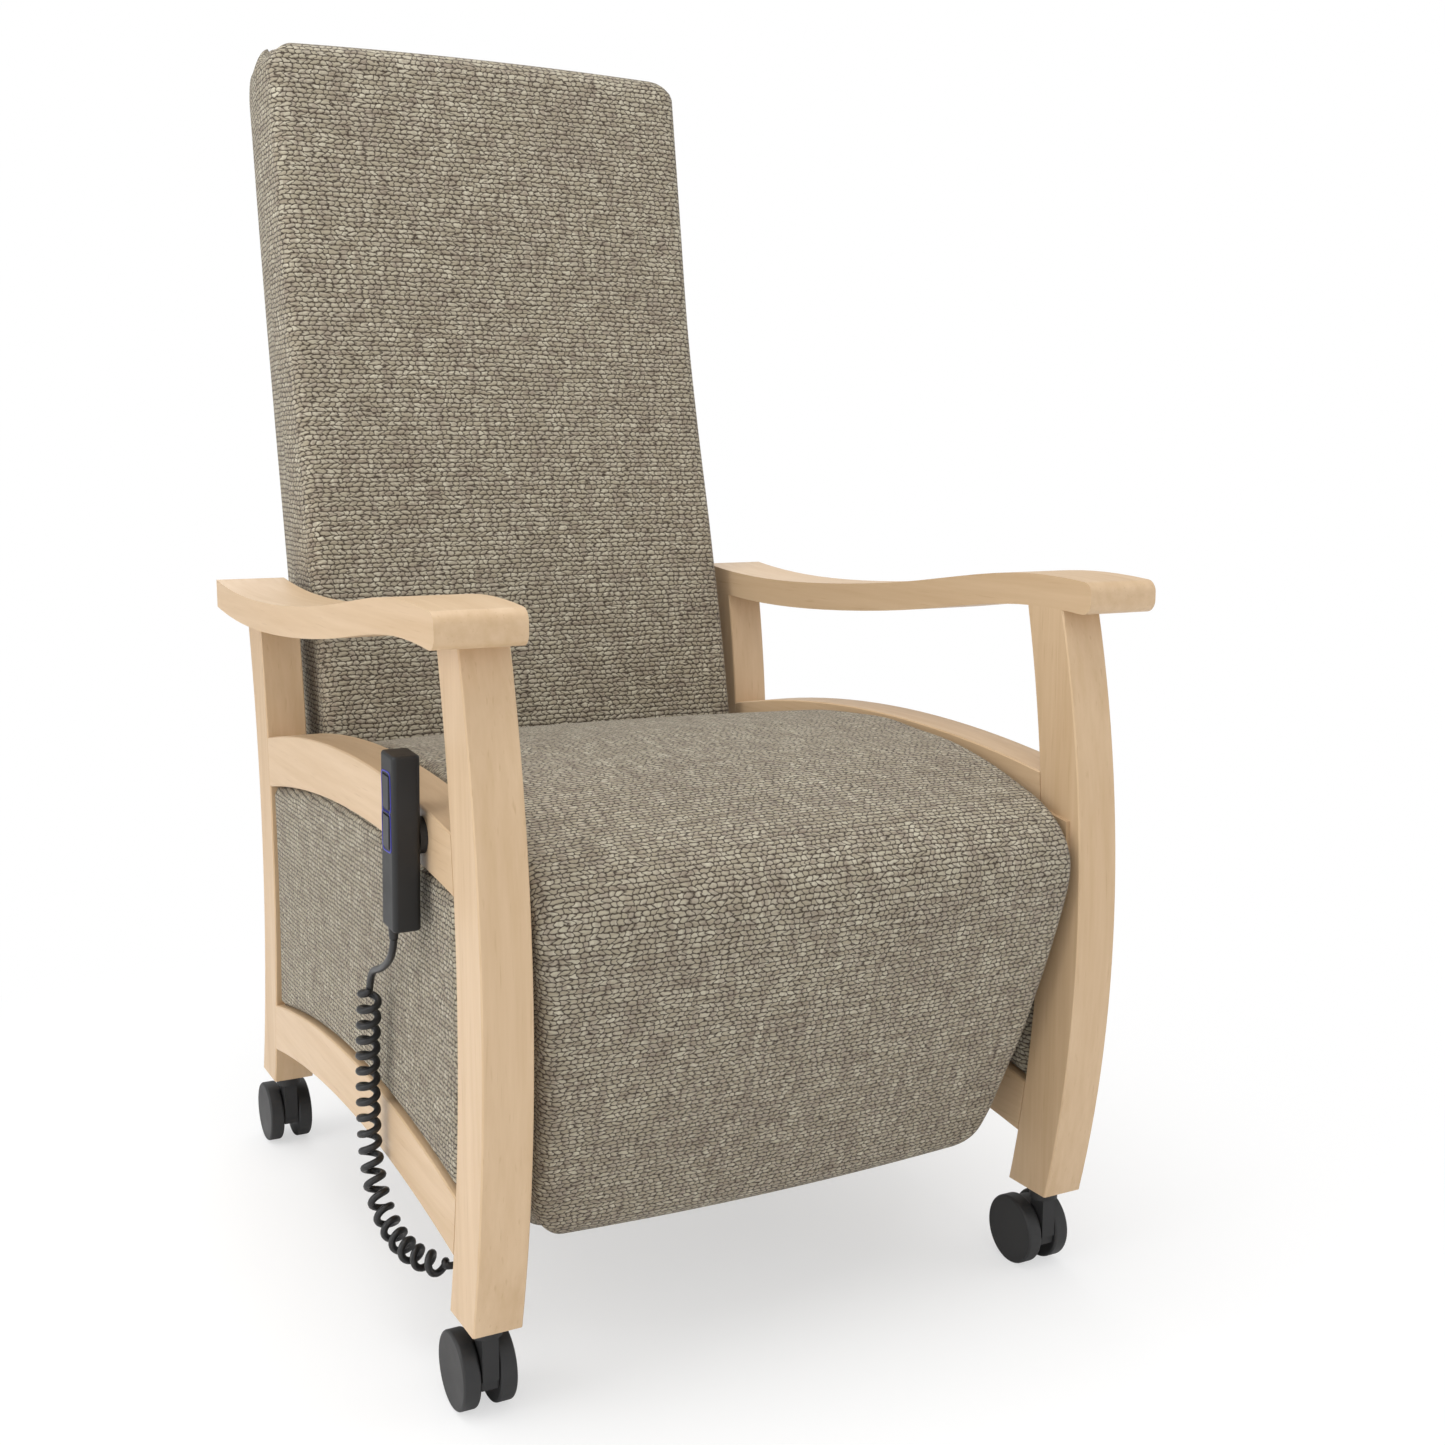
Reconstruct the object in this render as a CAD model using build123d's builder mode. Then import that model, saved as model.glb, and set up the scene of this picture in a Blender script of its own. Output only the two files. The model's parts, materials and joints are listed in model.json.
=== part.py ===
from build123d import *
from math import cos, pi, radians, sin, tan
import os

# Powered patient recliner: two beech side frames on castors carry a steel seat frame,
# an upholstered seat, a leg rest hinged at the seat front and a backrest hinged behind.
# +Z is up, the chair faces -Y, the occupant's right hand is on -X.
# The origin is on the floor, under the middle of the chair's box.

# Side frames
FOOT_Y = -394.95         # front face of the front legs at the feet
FRAME_INNER = 258.5      # half the clear width between the side frames
FRAME_THICK = 41.7       # thickness of legs and rails
FOOT_Z = 83.0            # underside of the legs
ARM_WIDTH = 72.0         # armrest width, flush with the legs inside
ARM_THICK = 28.7
ARM_NOSE_RADIUS = 11.0
EDGE_EASE = 1.2          # eased edges of the beech
PANEL_INSET = 3.0        # upholstered side panels lie behind the rails' outer face
LET_IN = 20.0            # how far a rail's blank runs into a leg before it is trimmed

# Seat
SEAT_HALF = 243.0
SEAT_REAR_Y = 570.0
BOARD_THICK = 12.0
SEAT_BOARD_Z = 400.0
TUBE = 25.0              # square tube of the welded seat frame
TUBE_WALL = 2.0
PLATE = 4.0              # steel plates and hinge arms

# Leg rest
LEG_HINGE = (-7.0, 431.0)
LEG_LEAN = 18.8          # backward lean of the hanging leg rest, degrees
LEG_HALF = 243.0
LEG_FACE = 38.0          # hinge axis to the front face
LEG_PAD_THICK = 66.0
LEG_LENGTH = 318.0       # hinge axis to the lower end
LEG_PIN_RADIUS = 5.0

# Backrest
BACK_HINGE = (640.0, 425.0)
BACK_HALF = 242.0
BACK_TOP = 1190.0
BACK_BOTTOM = 452.0
BACK_SHAFT_RADIUS = 8.0
FIT = 0.05               # radial running clearance

# Castors
WHEEL_RADIUS = 32.5
WHEEL_WIDTH = 15.0
WHEEL_GAP = 16.0         # clear width between the two wheels of a castor
CASTOR_TRAIL = 22.0
AXLE_RADIUS = 4.0
HOOD_RADIUS = 29.0       # hood between the wheels, concentric with the axle
HOOD_LOW = 24.0
NECK_TOP = 70.0
SWIVEL_GAP = 0.5

# Handset
HAND_WIDTH = 23.0        # along X
HAND_DEPTH = 32.0        # along Y
HAND_LENGTH = 143.0
HAND_TILT = -3.5
HAND_PLACE = (93.0, 465.0)
CORD_RADIUS = 3.0
COIL_RADIUS = 10.0
RELIEF_LENGTH = 12.0


def at(y, z):
    """Side-view point: y is measured back from the front feet."""
    return (y + FOOT_Y, z)


def save(part, name):
    part.label = name
    export_step(part, f"parts/{name}.step")


def plate(outline, start, thickness):
    """Extrude a side-view outline from x = start by a signed thickness."""
    with BuildPart() as made:
        with BuildSketch(Plane.YZ.offset(start)):
            with BuildLine():
                outline()
            make_face()
        extrude(amount=thickness)
    return made.part


def eased(blank):
    """Break the long edges of a leg or rail, which are its arcs."""
    with BuildPart() as made:
        add(blank)
        chamfer(made.edges().filter_by(GeomType.CIRCLE), EDGE_EASE)
    return made.part


def trimmed(blank, *others):
    """A blank with its neighbours cut out of it."""
    with BuildPart() as made:
        add(blank)
        for other in others:
            add(other, mode=Mode.SUBTRACT)
    return made.part


os.makedirs("parts", exist_ok=True)

# ---------------------------------------------------------------- side frames


def front_leg_outline():
    front = ThreePointArc(at(0, FOOT_Z), at(-36, 345), at(1, 636))
    rear = ThreePointArc(at(54.5, FOOT_Z), at(19.5, 365), at(50, 636))
    Line(front @ 0, rear @ 0)
    Line(front @ 1, rear @ 1)


def back_leg_outline():
    front = ThreePointArc(at(636, FOOT_Z), at(603, 365), at(626, 612))
    rear = ThreePointArc(at(690, FOOT_Z), at(651, 360), at(680, 612))
    Line(front @ 0, rear @ 0)
    Line(front @ 1, rear @ 1)


ARM_TOP = [(-39, 656), (8, 659.5), (50, 660), (150, 651.5), (230, 641.5), (360, 630), (490, 624.5),
           (600, 626.5), (680, 633.5)]


def armrest_outline():
    top = Spline(*[at(y, z) for y, z in ARM_TOP])
    under = Spline(*[at(y, z - ARM_THICK) for y, z in ARM_TOP])
    Line(top @ 0, under @ 0)
    Line(top @ 1, under @ 1)


def rail_outline(top, under):
    """Arched rail between the legs, each edge an arc through three points."""
    upper = ThreePointArc(*[at(y, z) for y, z in top])
    lower = ThreePointArc(*[at(y, z) for y, z in under])
    Line(upper @ 0, lower @ 0)
    Line(upper @ 1, lower @ 1)


def mid_rail_outline():
    rail_outline([(26 - LET_IN, 479), (300, 501), (603 + LET_IN, 468)],
                 [(21 - LET_IN, 430), (300, 449.5), (602 + LET_IN, 416)])


def lower_rail_outline():
    rail_outline([(34 - LET_IN, 182), (320, 208.5), (615 + LET_IN, 172)],
                 [(45 - LET_IN, 131), (330, 154), (623 + LET_IN, 120)])


# The panel's blank runs into all four members round it, which trim it.
PANEL_LOW = 165.0
PANEL_HIGH = 460.0


def panel_outline():
    Polyline(at(20, PANEL_LOW), at(630, PANEL_LOW), at(630, PANEL_HIGH), at(20, PANEL_HIGH), close=True)


for side, sign in (("right", -1), ("left", 1)):
    inner = sign * FRAME_INNER
    thick = sign * FRAME_THICK
    front_leg = plate(front_leg_outline, inner, thick)
    back_leg = plate(back_leg_outline, inner, thick)
    mid_rail = plate(mid_rail_outline, inner, thick)
    lower_rail = plate(lower_rail_outline, inner, thick)
    armrest = plate(armrest_outline, inner, sign * ARM_WIDTH)
    with BuildPart() as arm:
        add(armrest)
        nose = arm.edges().filter_by(Axis.X).group_by(Axis.Y)[0]
        fillet(nose, ARM_NOSE_RADIUS)
    save(arm.part, f"{side}_armrest")
    save(trimmed(eased(front_leg), armrest), f"{side}_front_leg")
    save(trimmed(eased(back_leg), armrest), f"{side}_back_leg")
    save(trimmed(eased(mid_rail), front_leg, back_leg), f"{side}_mid_rail")
    save(trimmed(eased(lower_rail), front_leg, back_leg), f"{side}_lower_rail")
    panel_start = sign * (FRAME_INNER + PANEL_INSET)
    panel_thick = sign * (FRAME_THICK - 2 * PANEL_INSET)
    panel = plate(panel_outline, panel_start, panel_thick)
    save(trimmed(panel, front_leg, back_leg, mid_rail, lower_rail), f"{side}_side_panel")

# ------------------------------------------------- cross members and seat frame

CROSS_TUBES = {"front_cross_tube": (160, 160), "rear_cross_tube": (600, 150)}
for name, (tube_y, tube_z) in CROSS_TUBES.items():
    with BuildPart() as cross_tube:
        with BuildSketch(Plane.YZ.offset(-FRAME_INNER)):
            with Locations(at(tube_y, tube_z)):
                Rectangle(TUBE, TUBE)
                Rectangle(TUBE - 2 * TUBE_WALL, TUBE - 2 * TUBE_WALL, mode=Mode.SUBTRACT)
        extrude(amount=2 * FRAME_INNER)
    save(cross_tube.part, name)

TUBE_Z = SEAT_BOARD_Z - TUBE / 2
FRONT_TUBE_Y = 125.0
REAR_TUBE_Y = 560.0
RUNNER_X = 170.0
HANGER_WIDTH = 40.0
HANGER_TOP = 462.0
BOLT_RADIUS = 4.0
BOLT_HEAD_RADIUS = 6.5
BOLT_HEAD = 4.0
BOLT_LENGTH = 30.0
plate_inner = FRAME_INNER - PLATE

with BuildPart() as seat_frame:
    for tube_y in (FRONT_TUBE_Y, REAR_TUBE_Y):
        with BuildSketch(Plane.YZ.offset(-plate_inner)):
            with Locations(at(tube_y, TUBE_Z)):
                Rectangle(TUBE, TUBE)
        extrude(amount=2 * plate_inner)
    for runner_x in (-RUNNER_X, RUNNER_X):
        with BuildSketch(Plane.XZ.offset(-(FRONT_TUBE_Y + FOOT_Y))):
            with Locations((runner_x, TUBE_Z)):
                Rectangle(TUBE, TUBE)
        extrude(amount=-(REAR_TUBE_Y - FRONT_TUBE_Y))
    for sign in (-1, 1):
        for tube_y in (FRONT_TUBE_Y, REAR_TUBE_Y):
            bottom = TUBE_Z - TUBE / 2
            with BuildSketch(Plane.YZ.offset(sign * plate_inner)):
                with Locations(at(tube_y, (bottom + HANGER_TOP) / 2)):
                    Rectangle(HANGER_WIDTH, HANGER_TOP - bottom)
            extrude(amount=sign * PLATE)
            with Locations(Plane.YZ.offset(sign * FRAME_INNER) * Pos(tube_y + FOOT_Y, HANGER_TOP - 15)):
                Cylinder(BOLT_RADIUS, 4 * PLATE, mode=Mode.SUBTRACT)
save(seat_frame.part, "seat_frame")


def bolt(start, sign, y, z, length):
    """Cap-headed bolt along X: head inside x = start, shank outwards."""
    with BuildPart() as made:
        with BuildSketch(Plane.YZ.offset(start)):
            with Locations(at(y, z)):
                Circle(BOLT_HEAD_RADIUS)
        extrude(amount=-sign * BOLT_HEAD)
        with BuildSketch(Plane.YZ.offset(start)):
            with Locations(at(y, z)):
                Circle(BOLT_RADIUS)
        extrude(amount=sign * length)
    return made.part


seat_bolts = [bolt(sign * plate_inner, sign, y, HANGER_TOP - 15, PLATE)
              for sign in (-1, 1) for y in (FRONT_TUBE_Y, REAR_TUBE_Y)]
with BuildPart() as seat_frame_bolts:
    for made in seat_bolts:
        add(made)
save(seat_frame_bolts.part, "seat_frame_bolts")

with BuildPart() as seat_board:
    with BuildSketch(Plane.XY.offset(SEAT_BOARD_Z)):
        with Locations((0, (75 + SEAT_REAR_Y) / 2 + FOOT_Y)):
            RectangleRounded(2 * (SEAT_HALF - 4), SEAT_REAR_Y - 75, 10)
    extrude(amount=BOARD_THICK)
save(seat_board.part, "seat_board")

TIP_ANGLE = 70.0
TIP_RADIUS = 19.0
SEAT_TOP = [(44, 472), (146, 493), (258, 500), (385, 492), (512, 472), (SEAT_REAR_Y, 463)]


def seat_outline():
    hinge_y, hinge_z = LEG_HINGE
    tip_low = at(hinge_y + TIP_RADIUS * cos(radians(TIP_ANGLE)), hinge_z + TIP_RADIUS * sin(radians(TIP_ANGLE)))
    tip_high = at(hinge_y + 26 * cos(radians(TIP_ANGLE)), hinge_z + 26 * sin(radians(TIP_ANGLE)))
    top = Spline(tip_high, *[at(y, z) for y, z in SEAT_TOP])
    under = SEAT_BOARD_Z + BOARD_THICK
    Polyline(top @ 1, at(SEAT_REAR_Y, under), at(62, under), at(48, hinge_z + 1), at(hinge_y + TIP_RADIUS, hinge_z + 1))
    Line(at(hinge_y + TIP_RADIUS, hinge_z + 1), tip_low)
    Line(tip_low, tip_high)


seat_cushion = plate(seat_outline, -SEAT_HALF, 2 * SEAT_HALF)
save(seat_cushion, "seat_cushion")

# -------------------------------------------------------------------- leg rest

LEAN = radians(LEG_LEAN)
leg_down = (sin(LEAN), -cos(LEAN))
leg_back = (cos(LEAN), sin(LEAN))


def on_leg(along, behind):
    """Side-view point on the leg rest: along it from the hinge, and behind the hinge line."""
    y = LEG_HINGE[0] + along * leg_down[0] + behind * leg_back[0]
    z = LEG_HINGE[1] + along * leg_down[1] + behind * leg_back[1]
    return at(y, z)


LEG_TOP = 14.0
pad_back = LEG_PAD_THICK - LEG_FACE
with BuildPart() as legrest_pad:
    with BuildSketch(Plane.YZ.offset(-LEG_HALF)):
        with BuildLine():
            Polyline(on_leg(LEG_TOP, -LEG_FACE + 14), on_leg(LEG_TOP + 16, -LEG_FACE),
                     on_leg(LEG_LENGTH, -LEG_FACE), on_leg(LEG_LENGTH, pad_back),
                     on_leg(LEG_TOP, pad_back), close=True)
        make_face()
        fillet(vertices().sort_by(Axis.Y)[:2], 20)
    extrude(amount=2 * LEG_HALF)
save(legrest_pad.part, "legrest_pad")

with BuildPart() as legrest_board:
    with BuildSketch(Plane.YZ.offset(-LEG_HALF)):
        with BuildLine():
            Polyline(on_leg(LEG_TOP, pad_back), on_leg(LEG_LENGTH - 25, pad_back),
                     on_leg(LEG_LENGTH - 25, pad_back + BOARD_THICK),
                     on_leg(LEG_TOP, pad_back + BOARD_THICK), close=True)
        make_face()
    extrude(amount=2 * LEG_HALF)
save(legrest_board.part, "legrest_board")

ARM_INSIDE = LEG_HALF + 0.5
for side, sign in (("right", -1), ("left", 1)):
    with BuildPart() as hinge_arm:
        with BuildSketch(Plane.YZ.offset(sign * ARM_INSIDE)):
            with BuildLine():
                Polyline(on_leg(-9, -9), on_leg(9, -9), on_leg(26, pad_back), on_leg(150, pad_back),
                         on_leg(150, pad_back + BOARD_THICK), on_leg(12, pad_back + BOARD_THICK),
                         on_leg(-9, 9), close=True)
            make_face()
            with Locations(on_leg(0, 0)):
                Circle(LEG_PIN_RADIUS + FIT, mode=Mode.SUBTRACT)
        extrude(amount=sign * PLATE)
    save(hinge_arm.part, f"{side}_legrest_arm")
    bracket_start = sign * plate_inner
    with BuildPart() as bracket:
        with BuildSketch(Plane.YZ.offset(bracket_start)):
            with BuildLine():
                Polyline(at(-20, 418), at(20, 418), at(100, 440), at(100, 468), at(20, 450), at(-20, 444),
                         close=True)
            make_face()
            with Locations(at(*LEG_HINGE)):
                Circle(LEG_PIN_RADIUS, mode=Mode.SUBTRACT)
            with Locations(at(85, 452)):
                Circle(BOLT_RADIUS, mode=Mode.SUBTRACT)
        extrude(amount=sign * PLATE)
    save(bracket.part, f"{side}_legrest_bracket")

with BuildPart() as legrest_pins:
    for sign in (-1, 1):
        with BuildSketch(Plane.YZ.offset(sign * ARM_INSIDE)):
            with Locations(at(*LEG_HINGE)):
                Circle(LEG_PIN_RADIUS)
        extrude(amount=sign * (FRAME_INNER - ARM_INSIDE))
save(legrest_pins.part, "legrest_pivot_pins")

with BuildPart() as bracket_bolts:
    for sign in (-1, 1):
        add(bolt(sign * plate_inner, sign, 85, 452, PLATE))
save(bracket_bolts.part, "legrest_bracket_bolts")

# -------------------------------------------------------------------- backrest

BACK_FRONT = [(578, BACK_BOTTOM), (600, 560), (631, 690), (660, 800), (686, 915), (705, 1040), (727, BACK_TOP)]
BACK_REAR = [(705, BACK_BOTTOM), (735, 620), (768, 790), (801, 970), (828, 1130)]
BACK_BOARD = 15.0
REAR_PAD = 30.0

with BuildPart() as backrest_body:
    with BuildSketch(Plane.YZ.offset(-BACK_HALF)):
        with BuildLine():
            front = Spline(*[at(y, z) for y, z in BACK_FRONT])
            rear = Spline(*[at(y, z) for y, z in BACK_REAR])
            crown = RadiusArc(rear @ 1, at(790, BACK_TOP), -52)
            Line(front @ 1, crown @ 1)
            Line(front @ 0, rear @ 0)
        make_face()
    extrude(amount=2 * BACK_HALF)

# The frame board lies inside the backrest, parallel to its rear face.
board_low = (BACK_REAR[0][0] - REAR_PAD, BACK_BOTTOM)
board_high = (BACK_REAR[-1][0] - REAR_PAD - 6, 1130)
with BuildPart() as back_board:
    with BuildSketch(Plane.YZ.offset(-BACK_HALF + 12)):
        with BuildLine():
            Polyline(at(*board_low), at(board_low[0] - BACK_BOARD, board_low[1]),
                     at(board_high[0] - BACK_BOARD, board_high[1]), at(*board_high), close=True)
        make_face()
    extrude(amount=2 * (BACK_HALF - 12))
save(back_board.part, "back_board")

with BuildPart() as backrest_pad:
    add(trimmed(backrest_body.part, back_board.part))
save(backrest_pad.part, "backrest_pad")

BACK_ARM_X = 190.0
arm_slope = (board_high[0] - board_low[0]) / (board_high[1] - board_low[1])
with BuildPart() as back_arms:
    for sign in (-1, 1):
        with BuildSketch(Plane.YZ.offset(sign * BACK_ARM_X)):
            with BuildLine():
                hinge_y, hinge_z = BACK_HINGE
                Polyline(at(hinge_y - 16, hinge_z - 16), at(hinge_y + 16, hinge_z - 16),
                         at(board_low[0], BACK_BOTTOM - 0.5), at(board_low[0] - BACK_BOARD, BACK_BOTTOM - 0.5),
                         at(hinge_y - 16, hinge_z + 16), close=True)
            make_face()
            with Locations(at(*BACK_HINGE)):
                Circle(BACK_SHAFT_RADIUS + FIT, mode=Mode.SUBTRACT)
        extrude(amount=sign * 2 * PLATE)
save(back_arms.part, "back_hinge_arms")

with BuildPart() as back_shaft:
    with BuildSketch(Plane.YZ.offset(-FRAME_INNER)):
        with Locations(at(*BACK_HINGE)):
            Circle(BACK_SHAFT_RADIUS)
    extrude(amount=2 * FRAME_INNER)
save(back_shaft.part, "back_pivot_shaft")

# --------------------------------------------------------------- drives, control

for name, motor_y, motor_z, motor_x in (("leg", 200, 340, -70), ("back", 440, 340, 70)):
    with BuildPart() as motor:
        with BuildSketch(Plane.XZ.offset(-(motor_y + FOOT_Y))):
            with Locations((motor_x, motor_z)):
                RectangleRounded(62, 60, 10)
        extrude(amount=-110)
        with BuildSketch(Plane.XY.offset(motor_z + 30)):
            with Locations((motor_x, motor_y + FOOT_Y + 55)):
                Rectangle(40, 60)
        extrude(amount=TUBE_Z + TUBE / 2 - motor_z - 30)
    save(motor.part, f"{name}_actuator_housing")
    direction = -1 if name == "leg" else 1
    start = motor_y if name == "leg" else motor_y + 110
    length = 70
    with BuildPart() as rod:
        with BuildSketch(Plane.XZ.offset(-(start + FOOT_Y))):
            with Locations((motor_x, motor_z)):
                Circle(11)
        extrude(amount=-direction * length)
    save(rod.part, f"{name}_actuator_rod")

with BuildPart() as control_box:
    with BuildSketch(Plane.XY.offset(SEAT_BOARD_Z - 45)):
        with Locations((0, 360 + FOOT_Y)):
            RectangleRounded(70, 100, 6)
    extrude(amount=45)
save(control_box.part, "control_box")

with BuildPart() as power_inlet:
    with BuildSketch(Plane.XZ.offset(-(410 + FOOT_Y))):
        with Locations((0, SEAT_BOARD_Z - 24)):
            RectangleRounded(28, 20, 3)
    extrude(amount=-10)
save(power_inlet.part, "power_inlet")

# ------------------------------------------------------------- handset and cord

HOLDER_THICK = 6.0
HAND_X = -(FRAME_INNER + FRAME_THICK + HOLDER_THICK + HAND_WIDTH / 2)
HAND_CENTRE = (HAND_X, HAND_PLACE[0] + FOOT_Y, HAND_PLACE[1])
hand_plane = Plane(origin=HAND_CENTRE, x_dir=(1, 0, 0), z_dir=(0, sin(radians(HAND_TILT)), cos(radians(HAND_TILT))))
ROCKER = (3.0, 15.0, 26.0)
ROCKER_RISE = (9, 41)
ROCKER_GAP = 0.6
ROCKER_PROUD = 1.0
POCKET_DEPTH = 3.0

with BuildPart() as handset:
    with BuildSketch(hand_plane.offset(-HAND_LENGTH / 2)):
        RectangleRounded(HAND_WIDTH, HAND_DEPTH, 4)
    extrude(amount=HAND_LENGTH)
    ends = handset.faces().sort_by(Axis.Z)
    fillet(ends[0].edges() + ends[-1].edges(), 2.5)
    for rise in ROCKER_RISE:
        with BuildSketch(hand_plane.offset(rise - ROCKER[2] / 2 - ROCKER_GAP)):
            with Locations((-HAND_WIDTH / 2, 0)):
                Rectangle(2 * POCKET_DEPTH, ROCKER[1] + 2 * ROCKER_GAP)
        extrude(amount=ROCKER[2] + 2 * ROCKER_GAP, mode=Mode.SUBTRACT)
save(handset.part, "handset_body")

for number, rise in enumerate(ROCKER_RISE, start=1):
    with BuildPart() as rocker:
        with BuildSketch(hand_plane.offset(rise - ROCKER[2] / 2)):
            with Locations((-HAND_WIDTH / 2 - ROCKER_PROUD + ROCKER[0] / 2, 0)):
                RectangleRounded(ROCKER[0], ROCKER[1], 0.8)
        extrude(amount=ROCKER[2])
    save(rocker.part, f"handset_rocker_{number}")

HOLDER_RADIUS = 15.0
HOLDER_RISE = 3.0        # holder's centre above the handset's
with BuildPart() as holder:
    with BuildSketch(Plane.YZ.offset(-(FRAME_INNER + FRAME_THICK))):
        with Locations((HAND_PLACE[0] + FOOT_Y, HAND_PLACE[1] + HOLDER_RISE)):
            Circle(HOLDER_RADIUS)
    extrude(amount=-HOLDER_THICK)
save(holder.part, "handset_holder")

relief_top = hand_plane.offset(-HAND_LENGTH / 2)
RELIEF_PLACE = (-4.0, 9.0)   # on the handset's lower end, from its middle
with BuildPart() as relief:
    with BuildSketch(relief_top):
        with Locations(RELIEF_PLACE):
            Circle(4.5)
    with BuildSketch(relief_top.offset(-RELIEF_LENGTH)):
        with Locations(RELIEF_PLACE):
            Circle(CORD_RADIUS + 0.6)
    loft()
save(relief.part, "cord_strain_relief")


def tube(points, radius):
    """A tube of straight runs joined by tangent arcs as large as the runs allow."""
    places = [Vector(*point) for point in points]
    arcs = []
    for before, here, after in zip(places, places[1:], places[2:]):
        turn = (here - before).get_angle(after - here)
        shorter = min((here - before).length, (after - here).length)
        arcs.append(0.45 * shorter / tan(radians(turn) / 2))
    print("cord arc radii", [round(arc, 1) for arc in arcs])
    with BuildPart() as made:
        with BuildLine() as path:
            FilletPolyline(*places, radius=arcs)
        with BuildSketch(Plane(origin=path.line @ 0, z_dir=path.line % 0)):
            Circle(radius)
        sweep()
    length = sum(edge.length for edge in path.line.edges())
    print("cord length", round(length, 1), "volume ratio", round(made.part.volume / (pi * radius ** 2 * length), 4))
    return made.part


relief_end = relief_top.offset(-RELIEF_LENGTH).from_local_coords((*RELIEF_PLACE, 0))
TAIL_END = (-317.0, 197 + FOOT_Y, 314.0)
TAIL = [(relief_end.X, relief_end.Y, relief_end.Z), (-321.6, 111 + FOOT_Y, 368.0), (-320.5, 134 + FOOT_Y, 353.0),
        (-319.0, 157 + FOOT_Y, 343.0), (-317.8, 186 + FOOT_Y, 334.0), TAIL_END]
save(tube(TAIL, CORD_RADIUS), "handset_cord_tail")

COIL_END = (-283.0, 114 + FOOT_Y, 90.0)
COIL = [TAIL_END, (-317.0, 202 + FOOT_Y, 290.0), (-316.5, 210 + FOOT_Y, 256.0), (-315.5, 218 + FOOT_Y, 207.0),
        (-314.5, 221 + FOOT_Y, 160.0), (-313.5, 205 + FOOT_Y, 121.0), (-309.0, 173 + FOOT_Y, 98.0),
        (-300.0, 133 + FOOT_Y, 91.0), COIL_END]
save(tube(COIL, COIL_RADIUS), "handset_cord_coil")

LEAD_END = (-232.0, 160 + FOOT_Y, 139.0)
INNER_LEAD = [COIL_END, (-265.0, 110 + FOOT_Y, 91.0), (-248.0, 120 + FOOT_Y, 95.0), (-237.0, 140 + FOOT_Y, 102.0),
              (-233.0, 157 + FOOT_Y, 116.0), LEAD_END]
save(tube(INNER_LEAD, CORD_RADIUS), "handset_cord_lead")

GLAND_RADIUS = 6.0
cross_tube_under = CROSS_TUBES["front_cross_tube"][1] - TUBE / 2
with BuildPart() as gland:
    with BuildSketch(Plane.XY.offset(LEAD_END[2])):
        with Locations((LEAD_END[0], LEAD_END[1])):
            Circle(GLAND_RADIUS)
    extrude(amount=cross_tube_under - LEAD_END[2])
save(gland.part, "cord_gland")

# --------------------------------------------------------------------- castors

castor_x = FRAME_INNER + FRAME_THICK / 2
for name, sign, leg_y in (("front_right", -1, 27.4), ("front_left", 1, 27.4), ("rear_right", -1, 662.7),
                          ("rear_left", 1, 662.7)):
    stem_x = sign * castor_x
    stem_y = leg_y + FOOT_Y
    axle_y = stem_y + CASTOR_TRAIL
    web = WHEEL_GAP / 2 - 1
    with BuildPart() as fork:
        with BuildSketch(Plane.YZ.offset(stem_x - web)):
            with Locations((axle_y, WHEEL_RADIUS)):
                Circle(HOOD_RADIUS)
            with Locations((axle_y, 0)):
                Rectangle(3 * HOOD_RADIUS, 2 * HOOD_LOW, mode=Mode.SUBTRACT)
            with Locations((stem_y, (WHEEL_RADIUS + NECK_TOP) / 2)):
                Rectangle(18, NECK_TOP - WHEEL_RADIUS)
            with Locations((axle_y, WHEEL_RADIUS)):
                Circle(AXLE_RADIUS + FIT, mode=Mode.SUBTRACT)
        extrude(amount=2 * web)
        with BuildSketch(Plane.XY.offset(NECK_TOP)):
            with Locations((stem_x, stem_y)):
                Circle(13)
        extrude(amount=FOOT_Z - SWIVEL_GAP - NECK_TOP)
    save(fork.part, f"castor_{name}_fork")
    with BuildPart() as axle:
        with BuildSketch(Plane.YZ.offset(stem_x - WHEEL_GAP / 2 - WHEEL_WIDTH + 4)):
            with Locations((axle_y, WHEEL_RADIUS)):
                Circle(AXLE_RADIUS)
        extrude(amount=WHEEL_GAP + 2 * WHEEL_WIDTH - 8)
    save(axle.part, f"castor_{name}_axle")
    with BuildPart() as wheels:
        for start, way in ((stem_x + WHEEL_GAP / 2, 1), (stem_x - WHEEL_GAP / 2, -1)):
            with BuildSketch(Plane.YZ.offset(start)):
                with Locations((axle_y, WHEEL_RADIUS)):
                    Circle(WHEEL_RADIUS)
            extrude(amount=way * WHEEL_WIDTH)
        rims = wheels.edges().filter_by(GeomType.CIRCLE)
        fillet(rims, 2.5)
    with BuildPart() as bored_wheels:
        add(trimmed(wheels.part, axle.part))
    save(bored_wheels.part, f"castor_{name}_wheels")
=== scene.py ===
"""Powered patient recliner: finishes, upholstery, curly cord and a plain studio.

Every length is in metres in the frame of the CAD model, +Z up, the chair facing -Y.
"""
import json
import logging
from dataclasses import dataclass
from enum import Enum
from math import pi, radians
from typing import Callable, Sequence

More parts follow.
